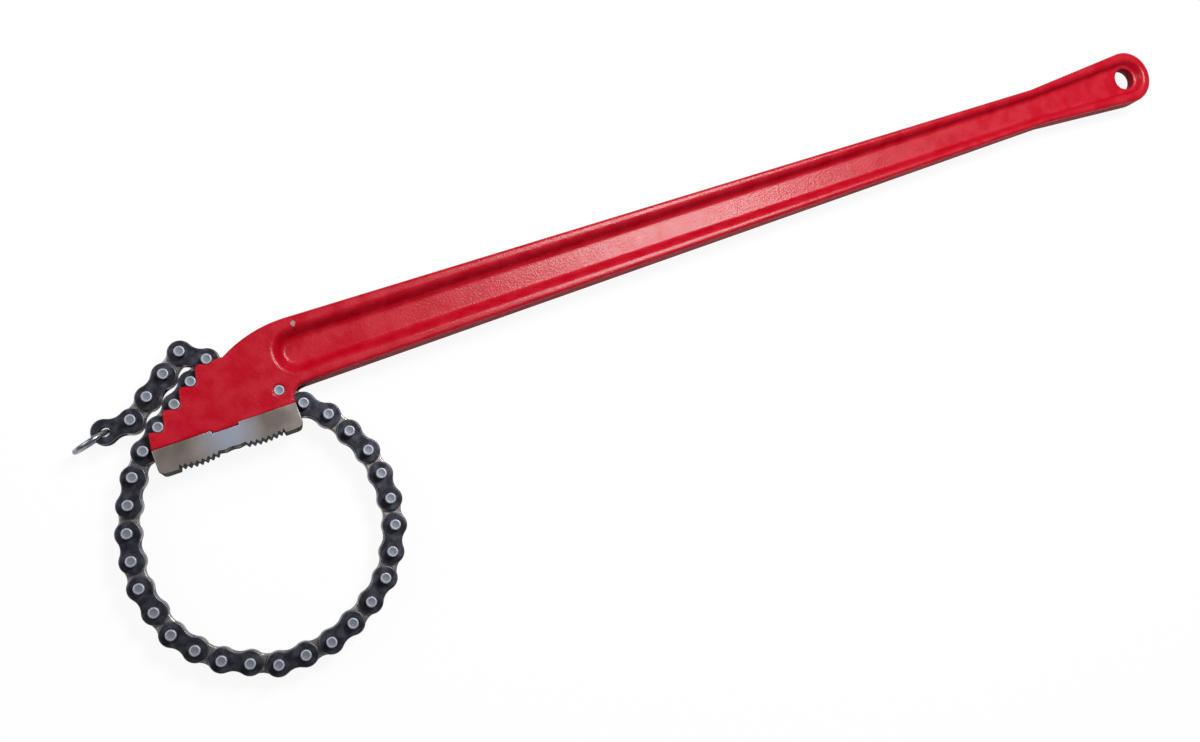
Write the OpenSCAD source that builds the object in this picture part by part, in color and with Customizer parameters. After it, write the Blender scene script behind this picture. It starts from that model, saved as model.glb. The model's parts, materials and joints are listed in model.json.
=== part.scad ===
// Chain pipe wrench: a forged handle with a toothed steel jaw and a flat-link chain.
// The wrench lies flat. X runs along the handle from the head to the hang hole, where
// the origin is. Y lies across the handle, and Z is the thickness.

/* [Handle] */
// Distance along the handle from the chain's hinge pin to the hang hole
hinge_to_hole = 1031; // [900:1:1200]
// Width of the handle just behind the head
neck_w = 65; // [58:1:72]
// Distance from the hinge pin back to the place where the handle starts to taper
neck_reach = 26; // [22:1:40]
// Width of the handle at its narrowest, before the flared end
grip_w = 42; // [38:1:48]
// Distance from the hang hole to the narrowest place
grip_reach = 130; // [100:5:180]
// Radius of the rounded end
end_r = 30; // [26:1:36]
// Diameter of the hang hole
hole_d = 25; // [16:1:28]
// Thickness over the flanges at the hang hole
end_t = 26; // [22:1:32]
// Thickness of the web between the two recesses
web_t = 11; // [8:1:16]
// Width of the flange rim beside the recess at the narrowest place
rim_w = 6; // [4:0.5:8]
// Width of the rim round the hang hole's end of the recess
end_rim_w = 10; // [7:0.5:12]
// Distance from the hinge pin back to the recess's round end at the head
recess_reach = 6.7; // [4:0.1:14]
// Radius of the recess's round end at the head
recess_head_r = 21; // [16:0.5:23]
// Width of the sloping wall from the rim down to the web
wall_w = 7.5; // [5:0.5:9]
// Width of that wall from the handle's narrowest place to the hang hole
end_wall_w = 4; // [3:0.5:5]
// Width of the hollow curve at the foot of that wall
foot_w = 3; // [1:0.5:4]

/* [Head] */
// Thickness of the head
head_t = 38; // [34:1:46]
// Distance from the handle's centre line down to the hinge pin
hinge_drop = 32; // [28:0.5:36]
// Distance from the hinge pin down to the face that the jaw sits on
seat_drop = 15.7; // [14:0.1:20]
// Distance from the hinge pin back to the rear face of the head
rear_reach = 10.7; // [9:0.1:14]
// Radius of the fillet between the rear face and the handle
rear_fillet_r = 14; // [8:0.5:15]
// Height of the first notch above the hinge pin
notch_rise = 3.3; // [0:0.1:8]
// Slope of the row of notches
notch_angle = 37.5; // [33:0.5:42]
// Clearance between a chain pin and its notch
notch_clear = 0.35; // [0.2:0.05:0.8]
// Reach of a tooth's lip in front of the pin that it holds
lip_reach = 9.7; // [8:0.1:11]
// Depth of a tooth's lip below the middle of the pin
lip_drop = 2.4; // [1.5:0.1:3.5]
// How far the front corner of the head stands in front of the first lip
front_land = 2.6; // [2:0.1:3.2]
// Clearance between the chain's plates and the sides of the slots in the head
slot_clear = 0.6; // [0.3:0.1:1.5]
// Clearance round the rims of the chain's plates in the slots
swing_clear = 1; // [0.6:0.1:2]

/* [Jaw] */
// Length of the jaw
jaw_len = 136; // [126:1:146]
// Depth of the jaw below its seat
jaw_depth = 24; // [20:0.5:30]
// Radius of the jaw's lower corners
jaw_corner_r = 5; // [3:0.5:8]
// Teeth in each of the two toothed pads
jaw_teeth = 7; // [5:1:9]
// Distance from one jaw tooth to the next
jaw_tooth_pitch = 5.3; // [4.5:0.1:6]
// Depth of the jaw teeth
jaw_tooth_depth = 2.4; // [1.5:0.1:3]
// Width of the plain land between a pad and the jaw's smooth end
pad_land = 1; // [0.5:0.1:2]
// How far the middle of a pad stands below its ends
pad_crown = 2; // [1:0.1:3]
// Depth of the smooth valley between the pads
valley_depth = 4; // [2.5:0.1:5]
// Width of the key that stands down from the head into the jaw
key_w = 24.6; // [18:0.2:30]
// Height of the key
key_h = 2.6; // [2:0.1:5]
// Clearance round the key
key_clear = 0.25; // [0.1:0.05:0.5]
// Thread diameter of the jaw's screw
screw_d = 10; // [8:1:12]
// Length of thread in the head
screw_grip = 22; // [16:1:30]
// Diameter of the screw's head
screw_head_d = 16; // [15:0.5:18]
// Width across the flats of the screw's socket
socket_w = 8; // [6:1:8]
// Clearance of the screw's shank and head in the jaw, on the diameter
screw_clear = 1; // [0.5:0.1:1.5]
// How far the screw's head lies below the valley
screw_sink = 0.5; // [0.2:0.1:1]

/* [Chain] */
// Distance from one chain pin to the next
pitch = 25.4; // [25:0.1:26]
// Height of the link plates
plate_h = 24; // [22:0.1:24.2]
// Height of the link plates at their waist
waist_h = 17.5; // [15:0.1:20]
// Thickness of an inner plate
inner_t = 5; // [4:0.1:6]
// Thickness of an outer plate
outer_t = 4; // [3:0.1:5]
// Diameter of the pins
pin_d = 10.3; // [9:0.1:11]
// Running clearance between a pin and the inner plates
run_clear = 0.08; // [0.03:0.01:0.1]
// Side clearance between plates
side_clear = 0.2; // [0.1:0.05:0.4]
// Chamfer on the ends of the pins
pin_chamfer = 0.8; // [0.3:0.1:1.5]

/* [Pull ring] */
// Radius of the pull ring at the middle of its wire
ring_r = 16.3; // [14:0.1:17]
// Diameter of the ring's wire
wire_d = 5.2; // [3:0.1:5.6]
// Degrees by which the ring leans over to one side
ring_lean = 6; // [0:1:12]

/* [Hidden] */
$fn = 64;
cut = 1;

// The chain: an inner and an outer link in turn, from the hinge pin to the pull ring
link_pairs = 17;
link_count = 2 * link_pairs;
notch_count = 4;
// Degrees by which the chain turns at the last notch and at each pin after it
tail_turns = [107, 73, 0, 0, -34];
ring_turn = 12;
loop_links = link_count - len(tail_turns) - notch_count + 1;
// Degrees by which the chain bends less, or more, than an even loop at each pin of the loop
lay = [14, -4, 4, -4, 2, 1, -5, 2, -6, 1, 3, -5, 4, -12, 8, -5, 0, -8, 6, -4, 4, 1, 4, -2, 1];

function numbered(name, i) = str(name, "_", i < 10 ? "0" : "", i);
function along(angle) = [cos(angle), sin(angle)];
// Sum of the first n values of a list
function total(list, n) = n == 0 ? 0 * list[0] : list[n - 1] + total(list, n - 1);

// Where the chain starts and where the notches lie: the first lip ends just behind the jaw's front
hinge = [-hinge_to_hole, -hinge_drop];
notch_reach = jaw_len - rear_reach - lip_reach - front_land;
notches = [for (i = [0:notch_count - 1]) hinge + [-notch_reach, notch_rise] + i * pitch * along(notch_angle)];
first_notch = notches[0];
last_notch = notches[notch_count - 1];

// The loop closes on the first notch: the even part of its bend is found by halving
function loop_headings(bend) = [for (k = [0:loop_links - 1]) total(lay, k) - k * bend];
function walk(headings) =
    let (steps = [for (h = headings) pitch * along(h)])
    [for (k = [0:len(headings)]) total(steps, k)];
function loop_end(bend) = walk(loop_headings(bend))[loop_links];
loop_span = first_notch - hinge;
function even_bend(low, high, halvings) =
    let (middle = (low + high) / 2)
    halvings == 0 ? middle :
    norm(loop_end(middle)) > norm(loop_span) ? even_bend(middle, high, halvings - 1) :
    even_bend(low, middle, halvings - 1);
full_turn_bend = 360 / loop_links;
bend = even_bend(full_turn_bend / 2, full_turn_bend, 40);
loop_start = atan2(loop_span.y, loop_span.x) - atan2(loop_end(bend).y, loop_end(bend).x);
headings = concat(
    [for (h = loop_headings(bend)) h + loop_start],
    [for (i = [2:notch_count]) notch_angle],
    [for (k = [1:len(tail_turns)]) notch_angle + total(tail_turns, k)]
);
pins = [for (p = walk(headings)) hinge + p];

// Layers across the thickness
head_z = head_t / 2;
inner_z = side_clear / 2;
outer_z = inner_z + inner_t + side_clear;
chain_z = outer_z + outer_t;
slot_z = chain_z + slot_clear;
web_z = web_t / 2;
end_z = end_t / 2;

// Sizes of the plates
plate_r = plate_h / 2;
pin_r = pin_d / 2;
waist_r = (pow(pitch / 2, 2) + pow(waist_h / 2, 2) - pow(plate_r, 2)) / (2 * (plate_r - waist_h / 2));
waist_mid = waist_h / 2 + waist_r;
waist_turn = atan2(waist_mid, pitch / 2);
swing_r = plate_r + swing_clear;

// Places on the head and the handle
seat_y = hinge.y - seat_drop;
rear_x = hinge.x + rear_reach;
front_x = rear_x - jaw_len;
key_x = (front_x + rear_x) / 2;
neck_x = hinge.x + neck_reach;
grip_x = -grip_reach;
seat_r = pin_r + notch_clear;
// Lip of a tooth and blunt top of the next one, from the pin between them
lip = [-lip_reach, -lip_drop];
tip_size = [3.2, 2.6];
tooth_top = pitch * along(notch_angle) + lip - tip_size;
// Ledge behind the last notch
ledge_step = [14.4, -2.9];
ledge = last_notch + ledge_step;
// Step that leads from the notches clear of the head
clear_off = [-12, 12];

function half_w(x) = (grip_w + (neck_w - grip_w) * (x - grip_x) / (neck_x - grip_x)) / 2;
function face_z(x) =
    x < neck_x ? head_z : x > grip_x ? end_z : end_z + (head_z - end_z) * (x - grip_x) / (neck_x - grip_x);

// Where a tangent from a point touches a circle about the origin, on its upper side
function touch(p, r) = r * along(atan2(p.y, p.x) - acos(r / norm(p)));
flare = touch([grip_x, half_w(grip_x)], end_r);
flare_turn = atan2(flare.y, flare.x);

// Points along an arc, without its last one
function arc(centre, r, from, to, steps) = [
    for (i = [0:steps - 1]) centre + r * along(from + (to - from) * i / steps)
];

// Handle and head

// Room for a pin between two teeth, open to the front, up to the given top
module notch(top) {
    seat_steps = 9;
    polygon(concat(
        [lip],
        arc([0, 0], seat_r, 225, 360, seat_steps),
        [[seat_r, 0], top, top + clear_off, lip + clear_off]
    ));
}

// Upper edge of the head: one arc from the ledge to the handle's edge
crest_run = neck_x - ledge.x;
crest_drop = half_w(neck_x) - ledge.y;
crest_r = (pow(crest_run, 2) + pow(crest_drop, 2)) / (2 * crest_drop);
crest_mid = [neck_x, half_w(neck_x) - crest_r];

module handle_outline() {
    crest_steps = 8;
    end_steps = 24;
    fillet_steps = 6;
    fillet_mid = [rear_x + rear_fillet_r, -half_w(neck_x) - rear_fillet_r];
    difference() {
        polygon(concat(
            [[front_x, seat_y], first_notch + lip, last_notch + lip],
            arc(crest_mid, crest_r, 90 + asin(crest_run / crest_r), 90, crest_steps),
            [[neck_x, half_w(neck_x)], [grip_x, half_w(grip_x)]],
            arc([0, 0], end_r, flare_turn, -flare_turn, end_steps),
            [[flare.x, -flare.y], [grip_x, -half_w(grip_x)], [neck_x, -half_w(neck_x)]],
            arc(fillet_mid, rear_fillet_r, 90, 180, fillet_steps),
            [[rear_x, fillet_mid.y], [rear_x, seat_y]],
            [[key_x + key_w / 2, seat_y], [key_x + key_w / 2, seat_y - key_h]],
            [[key_x - key_w / 2, seat_y - key_h], [key_x - key_w / 2, seat_y]]
        ));
        for (p = notches) translate(p) notch(p == last_notch ? [seat_r, pitch] : tooth_top);
    }
}

// Side view of the thickness: full at the head, tapering to the hang hole
module thickness_profile() {
    tail_x = end_r + cut;
    polygon([
        [front_x - cut, head_z], [neck_x, head_z], [grip_x, end_z], [tail_x, end_z],
        [tail_x, -end_z], [grip_x, -end_z], [neck_x, -head_z], [front_x - cut, -head_z]
    ]);
}

// The recess, lofted from its mouth on the flanges down a sloping wall to the web
foot_steps = 3;
arc_steps = 16;
// Share of the recess's depth that the curve at the foot of the wall takes up
foot_share = 0.25;
recess_head_x = hinge.x + recess_reach + recess_head_r;
recess_end_r = end_r - end_rim_w;
function recess_ring(inset) =
    let (end_inset = inset * end_wall_w / wall_w)
    concat(
        [for (i = [0:arc_steps]) [recess_head_x, 0] + (recess_head_r - inset) * along(90 + 180 * i / arc_steps)],
        [[grip_x, end_inset + rim_w - half_w(grip_x)]],
        [for (i = [0:arc_steps]) (recess_end_r - end_inset) * along(-90 + 180 * i / arc_steps)],
        [[grip_x, half_w(grip_x) - rim_w - end_inset]]
    );
function foot_inset(t) =
    wall_w * (1 - foot_share * pow(1 - t, 2)) + foot_w * pow(t, 2);
function foot_height(t, x) = web_z + (face_z(x) - web_z) * foot_share * pow(1 - t, 2);

module recess() {
    rim = recess_ring(0);
    sides = len(rim);
    layers = foot_steps + 3;
    foot = [
        for (i = [0:foot_steps]) let (t = i / foot_steps)
            for (p = recess_ring(foot_inset(t))) [p.x, p.y, foot_height(t, p.x)]
    ];
    polyhedron(
        concat(
            [for (p = rim) [p.x, p.y, head_z + cut]],
            [for (p = rim) [p.x, p.y, face_z(p.x)]],
            foot
        ),
        concat(
            [[for (s = [0:sides - 1]) sides - 1 - s]],
            [[for (s = [0:sides - 1]) (layers - 1) * sides + s]],
            [for (l = [0:layers - 2]) for (s = [0:sides - 1])
                [l * sides + s, l * sides + (s + 1) % sides, (l + 1) * sides + s]],
            [for (l = [0:layers - 2]) for (s = [0:sides - 1])
                [l * sides + (s + 1) % sides, (l + 1) * sides + (s + 1) % sides, (l + 1) * sides + s]]
        )
    );
}

// Room for the chain between the cheeks of the head: along the notches and round the hinge pin
module chain_slots() {
    row = notch_count * pitch;
    start = headings[0];
    round_steps = 12;
    linear_extrude(2 * slot_z, center = true) {
        translate(first_notch) rotate(notch_angle) translate([-row / 2, -swing_r]) square([2 * row, row]);
        translate(pins[loop_links - 1]) circle(swing_r);
        polygon(concat(
            arc(hinge, swing_r, start + 90, start + 270, round_steps),
            [hinge + swing_r * along(start - 90)],
            arc(pins[1], swing_r, start - 90, start + 90, round_steps),
            [pins[1] + swing_r * along(start + 90)]
        ));
        translate([hinge.x, hinge.y - plate_r]) square([2 * swing_r, plate_r]);
    }
}

module handle() {
    color("firebrick") difference() {
        intersection() {
            linear_extrude(head_t, center = true) handle_outline();
            rotate([90, 0, 0]) linear_extrude(2 * (neck_w + jaw_len), center = true) thickness_profile();
        }
        recess();
        mirror([0, 0, 1]) recess();
        chain_slots();
        translate(hinge) cylinder(head_t + cut, r = pin_r, center = true);
        cylinder(head_t + cut, d = hole_d, center = true);
        translate([key_x, seat_y - key_h - cut, 0]) rotate([-90, 0, 0])
            cylinder(screw_grip + key_h + cut, d = screw_d);
    }
}

// Jaw

pad_w = jaw_teeth * jaw_tooth_pitch;
jaw_low = seat_y - jaw_depth;
screw_seat_y = jaw_low + valley_depth + screw_d;
screw_top_y = seat_y + screw_grip - key_h;
// One tooth: places along its pitch, and 1 where the place is on the tip
tooth_form = [[0.08, 0], [0.42, 1], [0.62, 1], [0.96, 0]];

// Lower edge of a toothed pad, along a shallow outward curve
function pad_y(u) = jaw_low + pad_crown * pow(2 * u / pad_w - 1, 2);
function pad_teeth(start) = [
    for (i = [0:jaw_teeth - 1]) for (place = tooth_form)
        let (u = (i + place.x) * jaw_tooth_pitch)
        [start + u, pad_y(u) + (1 - place.y) * jaw_tooth_depth]
];

module jaw_outline() {
    corner_steps = 6;
    valley_r = (pow(key_w / 2, 2) + pow(valley_depth, 2)) / (2 * valley_depth);
    left_pad = key_x - key_w / 2 - pad_w;
    right_pad = key_x + key_w / 2;
    corner_y = jaw_low + jaw_corner_r;
    difference() {
        polygon(concat(
            [[front_x, seat_y]],
            arc([front_x + jaw_corner_r, corner_y], jaw_corner_r, 180, 270, corner_steps),
            [[front_x + jaw_corner_r, jaw_low], [left_pad - pad_land, jaw_low]],
            pad_teeth(left_pad),
            [[key_x, jaw_low + jaw_tooth_depth]],
            pad_teeth(right_pad),
            [[right_pad + pad_w + pad_land, jaw_low]],
            arc([rear_x - jaw_corner_r, corner_y], jaw_corner_r, 270, 360, corner_steps),
            [[rear_x, corner_y], [rear_x, seat_y]]
        ));
        translate([key_x, jaw_low + valley_depth - valley_r]) circle(valley_r);
        translate([key_x - key_w / 2 - key_clear, seat_y - key_h - key_clear])
            square([key_w + 2 * key_clear, key_h + key_clear + cut]);
    }
}

module jaw() {
    color("dimgray") difference() {
        linear_extrude(head_t, center = true) jaw_outline();
        chain_slots();
        translate([key_x, seat_y, 0]) rotate([90, 0, 0])
            cylinder(jaw_depth, d = screw_d + screw_clear);
        translate([key_x, screw_seat_y, 0]) rotate([90, 0, 0])
            cylinder(jaw_depth, d = screw_head_d + screw_clear);
    }
}

// Socket-head screw that holds the jaw, from below
module jaw_screw() {
    head_h = screw_d - screw_sink;
    shank = screw_top_y - screw_seat_y;
    color("slategray") translate([key_x, screw_seat_y, 0]) rotate([90, 0, 0]) difference() {
        union() {
            cylinder(head_h, d = screw_head_d);
            translate([0, 0, -shank]) cylinder(shank + cut, d = screw_d);
        }
        translate([0, 0, head_h / 2]) cylinder(head_h, d = socket_w / cos(30), $fn = 6);
    }
}

// Chain

// A pin with chamfered ends, as long as the head is thick
module pin() {
    rotate_extrude() polygon([
        [0, -head_z], [pin_r - pin_chamfer, -head_z], [pin_r, pin_chamfer - head_z],
        [pin_r, head_z - pin_chamfer], [pin_r - pin_chamfer, head_z], [0, head_z]
    ]);
}

module hinge_pin() {
    color("silver") translate(hinge) pin();
}

// A waisted plate from one pin to the next, with its two holes
module plate(thickness, hole_r) {
    round_steps = 16;
    waist_steps = 5;
    linear_extrude(thickness) difference() {
        polygon(concat(
            arc([0, 0], plate_r, waist_turn, 360 - waist_turn, round_steps),
            arc([pitch / 2, -waist_mid], waist_r, 180 - waist_turn, waist_turn, waist_steps),
            arc([pitch, 0], plate_r, waist_turn - 180, 180 - waist_turn, round_steps),
            arc([pitch / 2, waist_mid], waist_r, -waist_turn, waist_turn - 180, waist_steps)
        ));
        for (x = [0, pitch]) translate([x, 0]) circle(hole_r);
    }
}

module on_link(k) {
    translate(pins[k]) rotate(headings[k]) children();
}

module both_sides() {
    children();
    mirror([0, 0, 1]) children();
}

module inner_plates(i) {
    color("darkgray") on_link(2 * i - 2) both_sides()
        translate([0, 0, inner_z]) plate(inner_t, pin_r + run_clear);
}

module outer_plates(i) {
    color("darkslategray") on_link(2 * i - 1) both_sides()
        translate([0, 0, outer_z]) plate(outer_t, pin_r);
}

// The pins of one outer link. The last link holds the ring in place of its second pin.
module link_pins(i) {
    color("silver") on_link(2 * i - 1) for (x = i < link_pairs ? [0, pitch] : [0]) translate([x, 0, 0]) pin();
}

// The ring stands across the last link and runs through its free holes
module pull_ring() {
    sag = ring_r - sqrt(pow(ring_r, 2) - pow((outer_z + chain_z) / 2, 2));
    color("gray") translate(pins[link_count]) rotate(headings[link_count - 1] + ring_turn)
        translate([ring_r - sag, 0, 0]) rotate([90 - ring_lean, 0, 0])
        rotate_extrude() translate([ring_r, 0]) circle(d = wire_d);
}

handle();
jaw();
jaw_screw();
hinge_pin();
pull_ring();
for (i = [1:link_pairs]) {
    inner_plates(i);
    outer_plates(i);
    link_pins(i);
}
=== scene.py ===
"""Dresses a chain pipe wrench: a painted forging, a ground jaw and a riveted flat-link chain."""
import json
import logging
import math
from dataclasses import dataclass, field
from enum import Enum, IntEnum
from typing import Any, Callable, ClassVar, NamedTuple

import bmesh
import bpy
from mathutils import Matrix, Vector


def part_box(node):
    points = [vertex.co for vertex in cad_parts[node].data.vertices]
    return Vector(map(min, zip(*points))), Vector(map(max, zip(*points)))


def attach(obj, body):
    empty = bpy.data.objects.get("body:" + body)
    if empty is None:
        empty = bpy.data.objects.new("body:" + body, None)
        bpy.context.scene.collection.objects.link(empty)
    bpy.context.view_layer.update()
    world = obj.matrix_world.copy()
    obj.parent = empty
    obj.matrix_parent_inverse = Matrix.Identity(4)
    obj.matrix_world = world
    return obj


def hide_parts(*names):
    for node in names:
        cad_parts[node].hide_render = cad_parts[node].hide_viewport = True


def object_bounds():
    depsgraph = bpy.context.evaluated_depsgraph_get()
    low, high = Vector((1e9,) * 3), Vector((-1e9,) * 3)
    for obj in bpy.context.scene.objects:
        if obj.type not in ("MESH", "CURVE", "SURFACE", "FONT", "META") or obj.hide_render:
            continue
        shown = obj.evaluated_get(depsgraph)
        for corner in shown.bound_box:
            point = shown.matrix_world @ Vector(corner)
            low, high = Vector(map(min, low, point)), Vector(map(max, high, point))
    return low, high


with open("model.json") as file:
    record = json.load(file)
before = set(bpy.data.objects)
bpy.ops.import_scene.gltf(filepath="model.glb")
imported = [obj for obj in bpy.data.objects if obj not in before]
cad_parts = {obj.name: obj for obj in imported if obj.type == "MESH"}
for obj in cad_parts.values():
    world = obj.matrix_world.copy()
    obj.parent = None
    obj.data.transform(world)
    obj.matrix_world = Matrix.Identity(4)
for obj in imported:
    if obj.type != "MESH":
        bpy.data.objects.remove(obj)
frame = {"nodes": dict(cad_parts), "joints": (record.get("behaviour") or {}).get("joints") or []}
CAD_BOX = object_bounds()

LOG = logging.getLogger("wrench")
MM = 0.001
ROOT_BODY = "wrench_handle"

Mesh = bpy.types.Mesh
Material = bpy.types.Material
Object = bpy.types.Object
NodeTree = bpy.types.NodeTree
Node = bpy.types.Node
Socket = bpy.types.NodeSocket
WorkMesh = bmesh.types.BMesh
Edge = bmesh.types.BMEdge
EdgeWeight = Callable[[Edge], float]
Point = tuple[float, float]
Place = tuple[float, float, float]
Span = tuple[float, float]


def linear(code: str) -> tuple[float, float, float, float]:
    """Turns an sRGB hex colour into linear values.

    Args:
        code: Six hex digits, with or without a leading hash.

    Returns:
        Red, green, blue and an alpha of one.
    """
    digits = code.lstrip("#")
    shares = [int(digits[i : i + 2], 16) / 255 for i in (0, 2, 4)]
    made = [s / 12.92 if s <= 0.04045 else ((s + 0.055) / 1.055) ** 2.4 for s in shares]
    return (made[0], made[1], made[2], 1.0)


def feed(tree: NodeTree, node: Node, inputs: dict) -> None:
    """Sets or links a node's inputs.

    Args:
        tree: The node tree that holds the node.
        node: The node.
        inputs: Socket names or numbers, each with a value or with the socket that feeds it.
    """
    for key, value in inputs.items():
        if isinstance(value, Socket):
            tree.links.new(value, node.inputs[key])
        else:
            node.inputs[key].default_value = value


def add_node(tree: NodeTree, kind: str, inputs: dict | None = None, **settings: Any) -> Node:
    """Adds a node with its settings, and sets or links its inputs.

    Args:
        tree: The node tree that gets the node.
        kind: Blender's name for the kind of node.
        inputs: Socket names or numbers, each with a value or with the socket that feeds it.
        settings: Properties of the node itself.

    Returns:
        The new node.
    """
    node = tree.nodes.new(kind)
    for name, value in settings.items():
        setattr(node, name, value)
    feed(tree, node, inputs or {})
    return node


def per_mm(size_mm: float) -> float:
    """Scale of a pattern whose features are the given size."""
    return 1 / (size_mm * MM)


class Mix(IntEnum):
    """Numbers of the sockets of a colour mix node."""

    FACTOR = 0
    FIRST = 6
    SECOND = 7
    RESULT = 2


def steepness(tree: NodeTree, upright: float, level: float) -> Socket:
    """Adds a mask of the faces that stand on edge.

    Args:
        tree: The node tree that gets the nodes.
        upright: Height of the face's normal at and below which the mask is one.
        level: Height of the face's normal from which the mask is zero.

    Returns:
        The mask's socket.
    """
    normal = add_node(tree, "ShaderNodeNewGeometry").outputs["True Normal"]
    height = add_node(tree, "ShaderNodeSeparateXYZ", {"Vector": normal}).outputs["Z"]
    size = add_node(tree, "ShaderNodeMath", {0: height}, operation="ABSOLUTE").outputs[0]
    return add_node(
        tree,
        "ShaderNodeMapRange",
        {"Value": size, "From Min": upright, "From Max": level, "To Min": 1.0, "To Max": 0.0},
    ).outputs["Result"]


@dataclass(frozen=True)
class Finish:
    """A finish, named for what the surface is, with the size of its marks in millimetres.

    A span gives the values of a pattern between which one look passes into the other, and a slope the
    heights of a face's normal between which it does.
    """

    name: str
    slot: str

    def start(self) -> tuple[Material, NodeTree, Node, Socket]:
        """Starts the material.

        Returns:
            The material, its tree, its surface shader and its object coordinates.
        """
        material = bpy.data.materials.new(self.name)
        material.use_nodes = True
        tree = material.node_tree
        surface = tree.nodes["Principled BSDF"]
        place = add_node(tree, "ShaderNodeTexCoord").outputs["Object"]
        return material, tree, surface, place

    def layered(self, tree: NodeTree, ground: str, layers: list[tuple[Socket, str]]) -> Socket:
        """Lays colours over one another, each through its own mask.

        Args:
            tree: The node tree that gets the nodes.
            ground: Colour under all the layers.
            layers: Mask and colour of each layer, from the lowest up.

        Returns:
            The socket of the colour that is seen.
        """
        colour: Any = linear(ground)
        for mask, code in layers:
            colour = add_node(
                tree,
                "ShaderNodeMix",
                {Mix.FACTOR: mask, Mix.FIRST: colour, Mix.SECOND: linear(code)},
                data_type="RGBA",
            ).outputs[Mix.RESULT]
        return colour


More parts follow.
